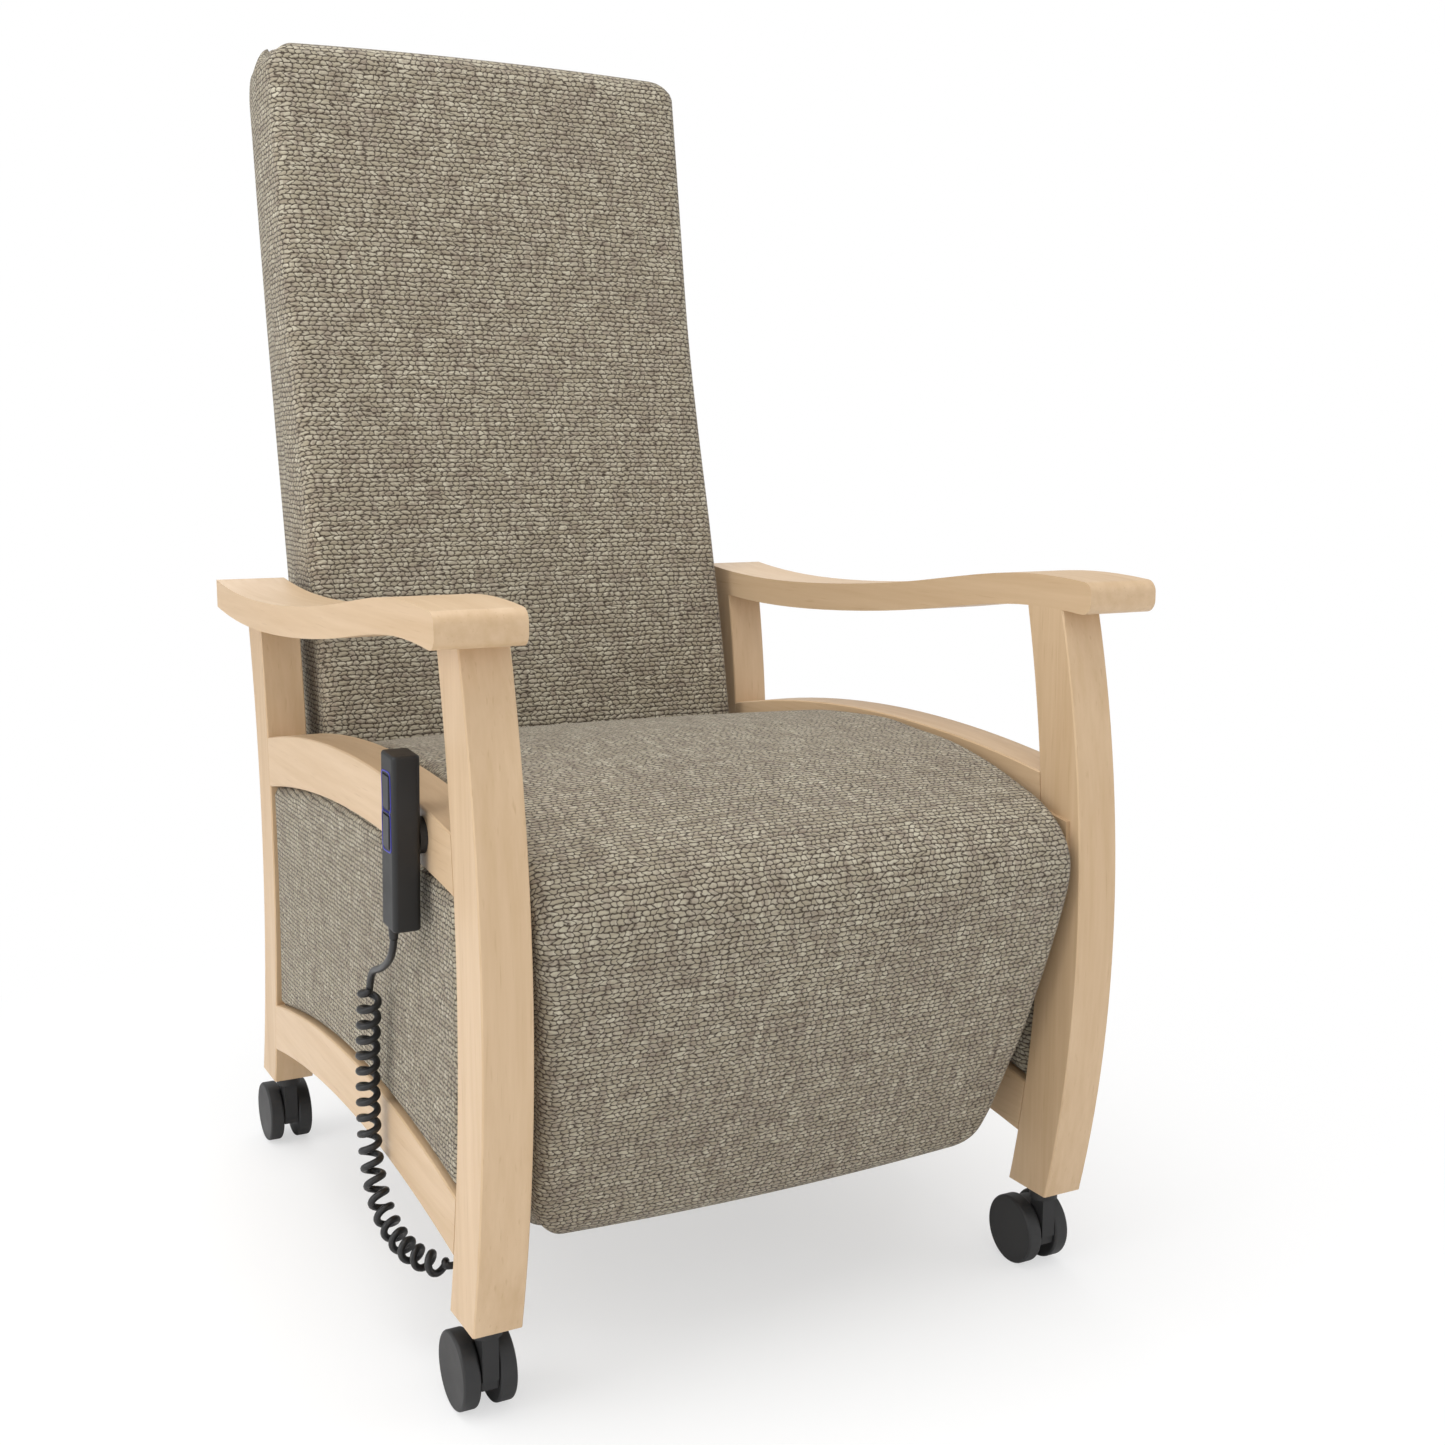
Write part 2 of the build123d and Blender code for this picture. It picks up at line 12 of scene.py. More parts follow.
import bmesh
import bpy
import numpy as np
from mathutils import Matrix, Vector


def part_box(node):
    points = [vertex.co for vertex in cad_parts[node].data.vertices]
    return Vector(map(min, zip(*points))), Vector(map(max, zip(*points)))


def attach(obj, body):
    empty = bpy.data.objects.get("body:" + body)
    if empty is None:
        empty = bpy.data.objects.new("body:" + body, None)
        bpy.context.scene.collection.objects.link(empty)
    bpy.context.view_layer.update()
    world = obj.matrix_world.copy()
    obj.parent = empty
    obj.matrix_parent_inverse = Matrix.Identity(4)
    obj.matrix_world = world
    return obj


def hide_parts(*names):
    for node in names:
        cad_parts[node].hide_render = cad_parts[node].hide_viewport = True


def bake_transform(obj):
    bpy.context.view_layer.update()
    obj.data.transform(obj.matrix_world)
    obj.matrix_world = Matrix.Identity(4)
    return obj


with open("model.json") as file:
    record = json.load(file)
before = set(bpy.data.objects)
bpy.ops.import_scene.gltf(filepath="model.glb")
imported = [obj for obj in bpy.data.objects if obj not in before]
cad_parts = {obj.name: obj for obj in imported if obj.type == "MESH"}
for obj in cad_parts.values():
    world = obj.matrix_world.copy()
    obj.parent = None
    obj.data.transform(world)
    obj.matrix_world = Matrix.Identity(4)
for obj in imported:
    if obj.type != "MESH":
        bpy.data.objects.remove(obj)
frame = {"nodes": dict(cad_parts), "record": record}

LOG = logging.getLogger("recliner")
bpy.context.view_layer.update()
FOOT_Y = -0.39495
FRAME_INNER = 0.2585
FRAME_OUTER = 0.3002


def side(y: float, z: float) -> tuple[float, float]:
    """Side-view point in metres, from millimetres behind the front feet and above the floor."""
    return (y / 1000 + FOOT_Y, z / 1000)


class Grain(Enum):
    """Which way the grain of a beech member runs."""

    UPRIGHT = (1.0, 1.0, 0.045)
    LENGTHWISE = (1.0, 0.045, 1.0)


class Wire:
    """A shader socket that takes part in Python arithmetic."""

    def __init__(self, graph: "Graph", socket: bpy.types.NodeSocket) -> None:
        """Wrap one output socket of a graph."""
        self.graph = graph
        self.socket = socket

    def _math(self, operation: str, *values: "Wire | float") -> "Wire":
        """Add one Math node."""
        return self.graph.add("ShaderNodeMath", {"operation": operation}, dict(enumerate(values)))

    def __add__(self, other: "Wire | float") -> "Wire":
        """Sum."""
        return self._math("ADD", self, other)

    __radd__ = __add__

    def __sub__(self, other: "Wire | float") -> "Wire":
        """Difference."""
        return self._math("SUBTRACT", self, other)

    def __rsub__(self, other: float) -> "Wire":
        """Reflected difference."""
        return self._math("SUBTRACT", other, self)

    def __mul__(self, other: "Wire | float") -> "Wire":
        """Product."""
        return self._math("MULTIPLY", self, other)

    __rmul__ = __mul__

    def __pow__(self, power: float) -> "Wire":
        """Power."""
        return self._math("POWER", self, power)

    def floor(self) -> "Wire":
        """Whole part."""
        return self._math("FLOOR", self)

    def fract(self) -> "Wire":
        """Fractional part."""
        return self._math("FRACT", self)

    def sin(self) -> "Wire":
        """Sine."""
        return self._math("SINE", self)


class Graph:
    """The node tree of one material, with a Principled shader ready to fill."""

    def __init__(self, name: str) -> None:
        """Make an empty material of that name."""
        self.material = bpy.data.materials.new(name)
        self.material.use_nodes = True
        self.tree = self.material.node_tree
        self.shader = self.tree.nodes["Principled BSDF"]

    def add(self, kind: str, settings: dict, inputs: dict, output: int | str = 0) -> Wire:
        """Add one node.

        Args:
            kind: Blender's node type.
            settings: attributes set before the sockets are filled.
            inputs: socket index or name to a value or a wire.
            output: which output to hand back.

        Returns:
            The chosen output.
        """
        node = self.tree.nodes.new(kind)
        for key, value in settings.items():
            setattr(node, key, value)
        for key, value in inputs.items():
            self.feed(node.inputs[key], value)
        return Wire(self, node.outputs[output])

    def feed(self, socket: bpy.types.NodeSocket, value: "Wire | float | Sequence[float]") -> None:
        """Link a wire into a socket, or set its plain value."""
        if isinstance(value, Wire):
            self.tree.links.new(value.socket, socket)
        else:
            socket.default_value = value

    def surface(self, **inputs: "Wire | float | Sequence[float]") -> bpy.types.Material:
        """Fill the shader's sockets, named with _ for spaces, and return the material."""
        for name, value in inputs.items():
            self.feed(self.shader.inputs[name.replace("_", " ")], value)
        return self.material

    def mix(self, factor: "Wire | float", first: "Wire | Sequence[float]",
            second: "Wire | Sequence[float]") -> Wire:
        """Blend two colours."""
        node = self.tree.nodes.new("ShaderNodeMix")
        node.data_type = "RGBA"
        for index, value in ((0, factor), (6, first), (7, second)):
            self.feed(node.inputs[index], value)
        return Wire(self, node.outputs[2])

    def noise(self, vector: Wire, scale: float, detail: float = 2.0, rough: float = 0.5) -> Wire:
        """Perlin noise from 0 to 1."""
        return self.add("ShaderNodeTexNoise", {}, {"Vector": vector, "Scale": scale, "Detail": detail,
                                                   "Roughness": rough}, 0)

    def stretched(self, vector: Wire, scale: Sequence[float]) -> Wire:
        """The vector multiplied by a scale along each axis."""
        return self.add("ShaderNodeVectorMath", {"operation": "MULTIPLY"}, {0: vector, 1: tuple(scale)})

    def ranged(self, value: Wire, low: float, high: float, to_low: float = 0.0, to_high: float = 1.0) -> Wire:
        """Clamp and rescale a value from one range to another."""
        return self.add("ShaderNodeMapRange", {}, {0: value, 1: low, 2: high, 3: to_low, 4: to_high})

    def bump(self, height: Wire, distance: float, strength: float = 1.0) -> Wire:
        """A normal from a height of so many metres."""
        return self.add("ShaderNodeBump", {}, {"Height": height, "Distance": distance, "Strength": strength})

    def place(self) -> Wire:
        """Object coordinates."""
        return self.add("ShaderNodeTexCoord", {}, {}, "Object")


def rgb(red: int, green: int, blue: int) -> tuple[float, float, float, float]:
    """Linear colour from display values of 0 to 255."""
    channel = np.array([red, green, blue]) / 255
    linear = np.where(channel <= 0.04045, channel / 12.92, ((channel + 0.055) / 1.055) ** 2.4)
    return (*[float(value) for value in linear], 1.0)


@dataclass(frozen=True)
class Beech:
    """Satin lacquered beech with fine streaks and short ray flecks."""

    light: tuple = rgb(208, 180, 146)
    dark: tuple = rgb(193, 163, 126)
    fleck: tuple = rgb(174, 140, 102)

    def material(self, grain: Grain) -> bpy.types.Material:
        """The finish with its grain along a member."""
        graph = Graph(f"beech_{grain.name.lower()}")
        along = graph.stretched(graph.place(), grain.value)
        streak = graph.noise(along, 95.0, 4.0, 0.62)
        broad = graph.noise(along, 14.0, 2.0)
        fine = graph.noise(along, 420.0, 1.0)
        colour = graph.mix(graph.ranged(streak * 0.6 + broad * 0.4, 0.34, 0.68), self.light, self.dark)
        colour = graph.mix(graph.ranged(fine, 0.66, 0.78, 0.0, 0.4), colour, self.fleck)
        return graph.surface(Base_Color=colour, Roughness=graph.ranged(streak, 0.3, 0.7, 0.42, 0.52),
                             Normal=graph.bump(streak, 0.00008), Coat_Weight=0.12, Coat_Roughness=0.3)


@dataclass(frozen=True)
class Weave:
    """Chunky greige melange cloth: rows of yarn lumps, each row half a lump along."""

    name: str = "greige_weave"
    pitch_u: float = 0.0082
    pitch_v: float = 0.0052
    base: tuple = rgb(160, 151, 131)
    pale: tuple = rgb(204, 197, 177)
    # dark is painted shade, laid into the gaps between the yarn lumps
    dark: tuple = rgb(66, 56, 47)
    plum: tuple = rgb(118, 102, 91)

    def material(self) -> bpy.types.Material:
        """The cloth on the piece's own UV map, which is in metres."""
        graph = Graph(self.name)
        uv = graph.add("ShaderNodeUVMap", {"uv_map": "cloth"}, {})
        wobble = graph.noise(uv, 45.0, 2.0)
        jitter = graph.noise(uv, 260.0, 1.0)
        split = graph.tree.nodes.new("ShaderNodeSeparateXYZ")
        graph.tree.links.new(uv.socket, split.inputs[0])
        u, v = (Wire(graph, split.outputs[index]) for index in (0, 1))
        rows = v * (1 / self.pitch_v) + wobble * 0.8 + jitter * 0.55
        row = rows.floor()
        uneven = graph.noise(graph.stretched(uv, (1.0, 3.0, 1.0)), 55.0, 1.0)
        cells = u * (1 / self.pitch_u) + row * 0.5 + uneven * 2.4 + jitter * 0.5
        cell = cells.floor()
        lump = (cells.fract() * pi).sin() ** 0.6 * (rows.fract() * pi).sin() ** 0.7
        key = graph.add("ShaderNodeCombineXYZ", {}, {0: cell, 1: row})
        shade = graph.add("ShaderNodeTexWhiteNoise", {"noise_dimensions": "2D"}, {"Vector": key}, "Value")
        streak = graph.noise(graph.stretched(uv, (0.16, 1.0, 1.0)), 170.0, 2.0)
        cross = graph.noise(graph.stretched(uv, (1.0, 0.16, 1.0)), 140.0, 2.0)
        fibre = graph.noise(graph.stretched(uv, (0.5, 1.0, 1.0)), 1400.0, 2.0, 0.7)
        cloud = graph.noise(uv, 8.0, 3.0)
        colour = graph.mix(graph.ranged(shade * 0.8 + streak * 1.4, 0.85, 1.55), self.base, self.pale)
        colour = graph.mix(graph.ranged(cross + shade * 0.3, 0.62, 0.84, 0.0, 0.6), colour, self.plum)
        colour = graph.mix(graph.ranged(streak, 0.44, 0.3, 0.0, 0.5), colour, self.plum)
        colour = graph.mix(graph.ranged(cloud, 0.42, 0.7, 0.0, 0.15), colour, self.plum)
        colour = graph.mix(graph.ranged(fibre, 0.35, 0.65, 0.0, 0.45), colour, self.base)
        # Painted shade: the gaps between the yarn lumps are darkened to the dark colour
        colour = graph.mix(graph.ranged(lump, 0.15, 0.6, 1.0, 0.0), colour, self.dark)
        height = lump + fibre * 0.35
        return graph.surface(Base_Color=colour, Roughness=0.92, Normal=graph.bump(height, 0.0011, 0.9),
                             Sheen_Weight=0.12, Sheen_Roughness=0.5, Specular_IOR_Level=0.2)


@dataclass(frozen=True)
class Moulded:
    """Moulded plastic or rubber with a light spark-eroded texture."""

    name: str
    colour: tuple
    roughness: float = 0.5
    grain: float = 900.0

    def material(self) -> bpy.types.Material:
        """The finish with a faint unevenness of tone and gloss."""
        graph = Graph(self.name)
        place = graph.place()
        pits = graph.noise(place, self.grain, 2.0)
        haze = graph.noise(place, 25.0, 3.0)
        lighter = tuple(min(1.0, value * 1.35 + 0.004) for value in self.colour[:3]) + (1.0,)
        return graph.surface(Base_Color=graph.mix(graph.ranged(haze, 0.35, 0.7), self.colour, lighter),
                             Roughness=graph.ranged(haze, 0.3, 0.7, self.roughness - 0.06, self.roughness + 0.08),
                             Normal=graph.bump(pits, 0.00006))


@dataclass(frozen=True)
class Metal:
    """Coated or plated steel."""

    name: str
    colour: tuple
    roughness: float
    metallic: float

    def material(self) -> bpy.types.Material:
        """The finish with fine variation of gloss."""
        graph = Graph(self.name)
        haze = graph.noise(graph.place(), 160.0, 3.0)
        return graph.surface(Base_Color=self.colour, Metallic=self.metallic, Normal=graph.bump(haze, 0.00005),
                             Roughness=graph.ranged(haze, 0.3, 0.7, self.roughness - 0.05, self.roughness + 0.1))


@dataclass(frozen=True)
class Plywood:
    """Raw birch plywood of the hidden boards."""

    face: tuple = rgb(214, 190, 150)
    dark: tuple = rgb(176, 146, 104)

    def material(self) -> bpy.types.Material:
        """The boards' finish."""
        graph = Graph("plywood")
        grain = graph.noise(graph.stretched(graph.place(), (0.06, 1.0, 1.0)), 70.0, 3.0)
        return graph.surface(Base_Color=graph.mix(grain, self.face, self.dark), Roughness=0.7,
                             Normal=graph.bump(grain, 0.0001))


def resampled(points: np.ndarray, count: int) -> np.ndarray:
    """Points evenly spaced along a polyline: position is interpolated on its summed length."""
    steps = np.linalg.norm(np.diff(points, axis=0), axis=1)
    run = np.concatenate([[0.0], np.cumsum(steps)])
    wanted = np.linspace(0.0, run[-1], count)
    return np.stack([np.interp(wanted, run, points[:, axis]) for axis in range(points.shape[1])], axis=1)


def smooth(points: Sequence[Sequence[float]], count: int) -> np.ndarray:
    """A Catmull-Rom curve through the points: each span is a cubic of its four neighbours."""
    knots = np.array(points, float)
    padded = np.vstack([2 * knots[0] - knots[1], knots, 2 * knots[-1] - knots[-2]])
    share = np.linspace(0.0, 1.0, 40, endpoint=False)[:, None]
    spans = []
    for before, start, end, after in zip(padded, padded[1:], padded[2:], padded[3:]):
        square = (2 * before - 5 * start + 4 * end - after) * share ** 2
        cube = (3 * start - before - 3 * end + after) * share ** 3
        spans.append(0.5 * (2 * start + (end - before) * share + square + cube))
    return resampled(np.vstack([*spans, knots[-1:]]), count)


def mesh_object(name: str, points: np.ndarray, faces: np.ndarray,
                cloth: np.ndarray | None = None) -> bpy.types.Object:
    """Make a smooth-shaded mesh object at the origin.

    Args:
        name: the object's name.
        points: vertex positions.
        faces: vertex numbers of each quad.
        cloth: cloth coordinates in metres for every corner of every face.

    Returns:
        The object, linked into the scene.
    """
    mesh = bpy.data.meshes.new(name)
    mesh.from_pydata(points.tolist(), [], faces.tolist())
    if cloth is not None:
        mesh.uv_layers.new(name="cloth").data.foreach_set("uv", cloth.astype(np.float32).ravel())
    mesh.polygons.foreach_set("use_smooth", [True] * len(mesh.polygons))
    piece = bpy.data.objects.new(name, mesh)
    bpy.context.scene.collection.objects.link(piece)
    return piece


def merged(piece: bpy.types.Object, gap: float = 1e-5) -> None:
    """Weld doubled vertices and turn every face outwards."""
    work = bmesh.new()
    work.from_mesh(piece.data)
    bmesh.ops.remove_doubles(work, verts=work.verts, dist=gap)
    bmesh.ops.dissolve_degenerate(work, edges=work.edges, dist=gap)
    bmesh.ops.recalc_face_normals(work, faces=work.faces)
    work.to_mesh(piece.data)
    work.free()


@dataclass
class Slab:
    """An upholstered slab between an outer and an inner side-view curve.

    The ring at each station across the width is the closed outline of both curves, drawn in
    by r - sqrt(r^2 - (r - e)^2) at a distance e from the slab's side, which rounds the edge;
    the side itself closes from that ring onto the line midway between the two curves.
    """

    name: str
    outer: np.ndarray
    inner: np.ndarray
    half: Callable[[np.ndarray], np.ndarray]
    edge: float = 0.02
    crown: float = 0.004
    puff: float = 0.003
    round_steps: int = 8
    across: int = 36
    cap_steps: int = 7

    def build(self) -> bpy.types.Object:
        """Build the closed, upholstered form with its cloth coordinates."""
        outline = np.vstack([self.outer, self.inner[::-1]])
        spine = (self.outer + self.inner) / 2
        spine = np.vstack([spine, spine[::-1]])
        ahead = np.roll(outline, -1, axis=0) - np.roll(outline, 1, axis=0)
        normal = np.stack([ahead[:, 1], -ahead[:, 0]], axis=1)
        normal /= np.linalg.norm(normal, axis=1)[:, None] + 1e-12
        area = np.sum(outline[:, 0] * np.roll(outline[:, 1], -1) - np.roll(outline[:, 0], -1) * outline[:, 1])
        inward = -normal * np.sign(area)
        half = self.half(outline)
        reach = np.linalg.norm(spine - outline, axis=1)
        limit = np.minimum(self.edge, 0.8 * reach)[:, None]
        angles = np.linspace(0.0, pi / 2, self.round_steps + 1)
        rings, cross = [], []
        flat = np.linspace(-1.0, 1.0, self.across + 1)
        for angle in angles[::-1][:-1]:
            rings.append((-(half - self.edge * (1 - np.sin(angle))), limit * (1 - np.cos(angle))))
        for share in flat:
            rings.append((share * (half - self.edge), np.zeros_like(limit)))
        for angle in angles[1:]:
            rings.append(((half - self.edge * (1 - np.sin(angle))), limit * (1 - np.cos(angle))))
        layers = []
        for across, inset in rings:
            swell = self.crown * np.clip(1 - (across / half) ** 2, 0, 1)[:, None]
            at = outline + inward * (inset - swell)
            layers.append(np.column_stack([across, at]))
            cross.append(across)
        for direction, where in ((-1, 0), (1, len(layers))):
            ring = layers[0 if direction < 0 else -1]
            caps = []
            for step in range(1, self.cap_steps + 1):
                share = step / self.cap_steps
                at = ring[:, 1:] * (1 - share) + spine * share
                bulge = self.puff * np.sin(share * pi / 2) * np.clip(reach / 0.04, 0, 1)
                level = ring[:, 0] * (1 - share / 2) + ring[::-1, 0] * share / 2
                caps.append(np.column_stack([level + direction * bulge, at]))
            layers = caps[::-1] + layers if direction < 0 else layers + caps
        grid = np.array(layers)
        stations, around = grid.shape[:2]
        index = np.arange(stations * around).reshape(stations, around)
        nxt = np.roll(index, -1, axis=1)
        faces = np.stack([index[:-1], nxt[:-1], nxt[1:], index[1:]], axis=-1).reshape(-1, 4)
        run = np.concatenate([[0.0], np.cumsum(np.linalg.norm(np.diff(outline, axis=0), axis=1))])
        total = run[-1] + np.linalg.norm(outline[0] - outline[-1])
        spacing = np.linalg.norm(np.diff(grid, axis=0), axis=2)
        wide = np.concatenate([np.zeros((1, around)), np.cumsum(spacing, axis=0)])
        wide -= wide[stations // 2]
        v_low = np.broadcast_to(run, (stations, around))
        v_high = np.broadcast_to(np.append(run[1:], total), (stations, around))
        u_next = np.roll(wide, -1, axis=1)
        corner = [(wide[:-1], v_low[:-1]), (u_next[:-1], v_high[:-1]),
                  (u_next[1:], v_high[1:]), (wide[1:], v_low[1:])]
        cloth = np.stack([np.stack(pair, axis=-1) for pair in corner], axis=2).reshape(-1, 2)
        piece = mesh_object(self.name, grid.reshape(-1, 3), faces, cloth)
        merged(piece)
        return piece


def arc(centre: tuple[float, float], radius: float, start: float, end: float,
        steps: int) -> list[tuple[float, float]]:
    """Points on a side-view arc, angles in degrees from +Y towards +Z."""
    angle = np.radians(np.linspace(start, end, steps))
    return [(centre[0] + radius * float(np.cos(a)), centre[1] + radius * float(np.sin(a))) for a in angle]


@dataclass
class Upholstery:
    """Backrest, seat with leg rest, and the two side panels."""

    coarse: bpy.types.Material
    fine: bpy.types.Material
    back_half: float = 0.242
    back_top: float = 1.207
    corner: float = 0.026
    seat_half: float = 0.2535
    leg_half_low: float = 0.229

    def backrest(self) -> bpy.types.Object:
        """The high back: an S-curved front, a straight rear and a rounded crown."""
        front = [side(578, 434), side(582, 470), side(600, 560), side(631, 690), side(660, 800), side(686, 915),
                 side(705, 1040), side(726, 1182)]
        crown = arc(side(746, 1184), 0.02, 178, 92, 6) + [side(778, 1204)]
        rear = [side(708, 434), side(715, 480), side(740, 620), side(774, 790), side(807, 970), side(831, 1125)]
        shoulder = arc(side(784, 1153), 0.051, -6, 84, 12)
        outer = resampled(np.vstack([smooth(front, 90), crown]), 120)
        inner = resampled(np.vstack([smooth(rear, 90), shoulder]), 120)

        def half(at: np.ndarray) -> np.ndarray:
            """Full width, with round upper corners seen from the front."""
            reach = np.clip((at[:, 1] - (self.back_top - self.corner)) / self.corner, 0, 1)
            return self.back_half - self.corner * (1 - np.sqrt(1 - reach ** 2))

        piece = Slab("backrest_cover", outer, inner, half, edge=0.016).build()
        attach(piece, "backrest")
        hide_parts("backrest_pad")
        return piece

    def seat(self) -> bpy.types.Object:
        """Seat and leg rest in one cover that rolls over the front edge."""
        top = [side(574, 440), side(570, 458), side(560, 464), side(512, 472), side(385, 492), side(300, 499),
               side(250, 501), side(206, 498), side(146, 494), side(88, 484), side(44, 472), side(12, 462),
               side(-9, 451), side(-24, 438), side(-34, 422), side(-37, 404), side(-33, 372), side(-18, 315),
               side(3, 250), side(24, 198), side(42, 155)]
        low = [side(42, 155), side(52, 133), side(68, 120), side(86, 118)]
        under = [side(574, 420), side(560, 413), side(400, 413), side(200, 413), side(80, 414), side(52, 404),
                 side(50, 380), side(66, 320), side(92, 245), side(112, 190), side(122, 158)]
        under_low = [side(122, 158), side(122, 140), side(112, 127), side(98, 119)]
        outer = np.vstack([smooth(top, 150), smooth(low, 20)[1:]])
        inner = np.vstack([smooth(under, 150), smooth(under_low, 20)[1:]])

        def half(at: np.ndarray) -> np.ndarray:
            """Full width on the seat, tapering down the leg rest, drawn in at its rounded lower corners."""
            drop = np.clip((0.40 - at[:, 1]) / 0.25, 0, 1)
            corner = np.clip((0.165 - at[:, 1]) / 0.047, 0, 1)
            narrow = self.seat_half - (self.seat_half - self.leg_half_low) * drop
            return narrow - 0.03 * (1 - np.sqrt(np.clip(1 - corner ** 2, 0, 1)))

        piece = Slab("seat_and_legrest_cover", outer, inner, half, edge=0.013, crown=0.005).build()
        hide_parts("seat_cushion", "legrest_pad")
        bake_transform(piece)
        return piece

    def side_panel(self, which: str, sign: int) -> bpy.types.Object:
        """A cloth-covered panel between the legs and the arched rails.

        Each face is a grid between four arcs; its depth falls away within 6 mm of the border
        as a quarter ellipse, so the cloth rolls into the shadow gap.
        """
        count_y, count_z = 60, 34
        share_y = np.linspace(0, 1, count_y)[:, None]
        share_z = np.linspace(0, 1, count_z)[None, :]

        def through(low: float, middle: float, high: float, share: np.ndarray) -> np.ndarray:
            """Parabola through three values at shares 0, one half and 1."""
            ends = low * (1 - share) * (1 - 2 * share) + high * share * (2 * share - 1)
            return ends + 4 * middle * share * (1 - share)

        bottom = through(186, 209.5, 176, share_y)
        top = through(434, 448.5, 419, share_y)
        height = bottom + (top - bottom) * share_z
        front = through(35.0, 19.5, 22.5, share_z)
        rear = through(611.5, 602.5, 604.0, share_z)
        depth = front + (rear - front) * share_y
        inset = 1.2
        height = height + inset * (1 - 2 * share_z)
        depth = depth + inset * (1 - 2 * share_y)
        border = np.minimum(np.minimum(share_y, 1 - share_y) * 580, np.minimum(share_z, 1 - share_z) * 240)
        roll = 1 - np.sqrt(np.clip(1 - (1 - np.clip(border / 6.0, 0, 1)) ** 2, 0, 1))
        middle = (FRAME_INNER + FRAME_OUTER) / 2
        reach = FRAME_OUTER - 0.0022 - middle
        grids = []
        for way in (1, -1):
            across = sign * (middle + way * (reach - 0.006 * roll))
            grids.append(np.stack([across, depth / 1000 + FOOT_Y, height / 1000], axis=-1))
        points = np.concatenate([grid.reshape(-1, 3) for grid in grids])
        index = np.arange(count_y * count_z).reshape(count_y, count_z)
        quads = np.stack([index[:-1, :-1], index[1:, :-1], index[1:, 1:], index[:-1, 1:]], axis=-1).reshape(-1, 4)
        rim = np.concatenate([index[:, 0], index[-1, 1:], index[-2::-1, -1], index[0, -2:0:-1]])
        other = index.size
        ahead = np.roll(rim, -1)
        band = np.stack([rim, ahead, ahead + other, rim + other], axis=-1)
        faces = np.concatenate([quads, quads[:, ::-1] + other, band])
        cloth = points[faces.ravel()][:, 1:]
        piece = mesh_object(f"{which}_panel_cover", points, faces, cloth)
        merged(piece)
        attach(piece, "root")
        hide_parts(f"{which}_side_panel")
        return piece

    def build(self) -> None:
        """Build and dress every upholstered piece."""
        made = [self.backrest(), self.seat(), self.side_panel("right", -1), self.side_panel("left", 1)]
        for piece in made:
            piece.data.materials.append(self.coarse if piece.name.startswith("backrest") else self.fine)
            LOG.info("built %s", piece.name)


@dataclass
class CurlyCord:
    """The handset's cord: a plain tail, a hanging coil and a plain lead to the frame."""

    rubber: bpy.types.Material
    thickness: float = 0.0064
    coil_outer: float = 0.0222
    turns: int = 20
    steps: int = 14

    @staticmethod
    def route_points(points: Sequence[Sequence[float]]) -> np.ndarray:
        """Points along a NURBS spline of order 3 with these control points."""
        curve = bpy.data.curves.new("route", "CURVE")
        curve.dimensions = "3D"
        spline = curve.splines.new("NURBS")
        spline.points.add(len(points) - 1)
        for point, place in zip(spline.points, points):
            point.co = (*place, 1.0)
        spline.order_u = 3
        spline.use_endpoint_u = True
        spline.resolution_u = 24
        holder = bpy.data.objects.new("route", curve)
        mesh = bpy.data.meshes.new_from_object(holder)
        places = np.array([vertex.co[:] for vertex in mesh.vertices])
        bpy.data.objects.remove(holder)
        bpy.data.meshes.remove(mesh)
        return places

    def build(self, tail: list, coil: list, lead: list) -> bpy.types.Object:
        """Carry a helix along the coil's route and join the plain ends to it.

        A helix point is centre + r (cos t * side + sin t * up) on axes carried along the
        route, with r growing from nothing over the first and last turn.
        """
        centre = resampled(self.route_points(coil), self.turns * self.steps + 1)
        ahead = np.gradient(centre, axis=0)
        ahead /= np.linalg.norm(ahead, axis=1)[:, None]
        across = np.zeros_like(ahead)
        across[0] = np.cross(ahead[0], (1.0, 0.0, 0.0))
        for place in range(1, len(ahead)):
            across[place] = across[place - 1] - ahead[place] * np.dot(across[place - 1], ahead[place])
            across[place] /= np.linalg.norm(across[place])
        across[0] /= np.linalg.norm(across[0])
        upward = np.cross(ahead, across)
        angle = np.linspace(0.0, 2 * pi * self.turns, len(centre))
        radius = (self.coil_outer - self.thickness) / 2
        share = np.minimum(angle, angle[-1] - angle) / (0.6 * pi)
        grown = radius * np.clip(share, 0, 1)
        helix = centre + grown[:, None] * (np.cos(angle)[:, None] * across + np.sin(angle)[:, None] * upward)
        places = [*tail[:-1], *helix.tolist(), *lead[1:]]
        curve = bpy.data.curves.new("handset_cord", "CURVE")
        curve.dimensions = "3D"
        curve.bevel_depth = self.thickness / 2
        curve.bevel_resolution = 3
        curve.use_fill_caps = True
        spline = curve.splines.new("NURBS")
        spline.points.add(len(places) - 1)
        for point, place in zip(spline.points, places):
            point.co = (*place, 1.0)
        spline.order_u = 3
        spline.use_endpoint_u = True
        spline.resolution_u = 3
        piece = bpy.data.objects.new("handset_cord", curve)
        bpy.context.scene.collection.objects.link(piece)
        curve.materials.append(self.rubber)
        line = self.route_points(places)
        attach(piece, "root")
        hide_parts("handset_cord_tail", "handset_cord_coil", "handset_cord_lead")
        return piece


def cord_place(x: float, y: float, z: float) -> tuple[float, float, float]:
    """A point of the cord's route, from millimetres."""
    return (x / 1000, y / 1000 + FOOT_Y, z / 1000)


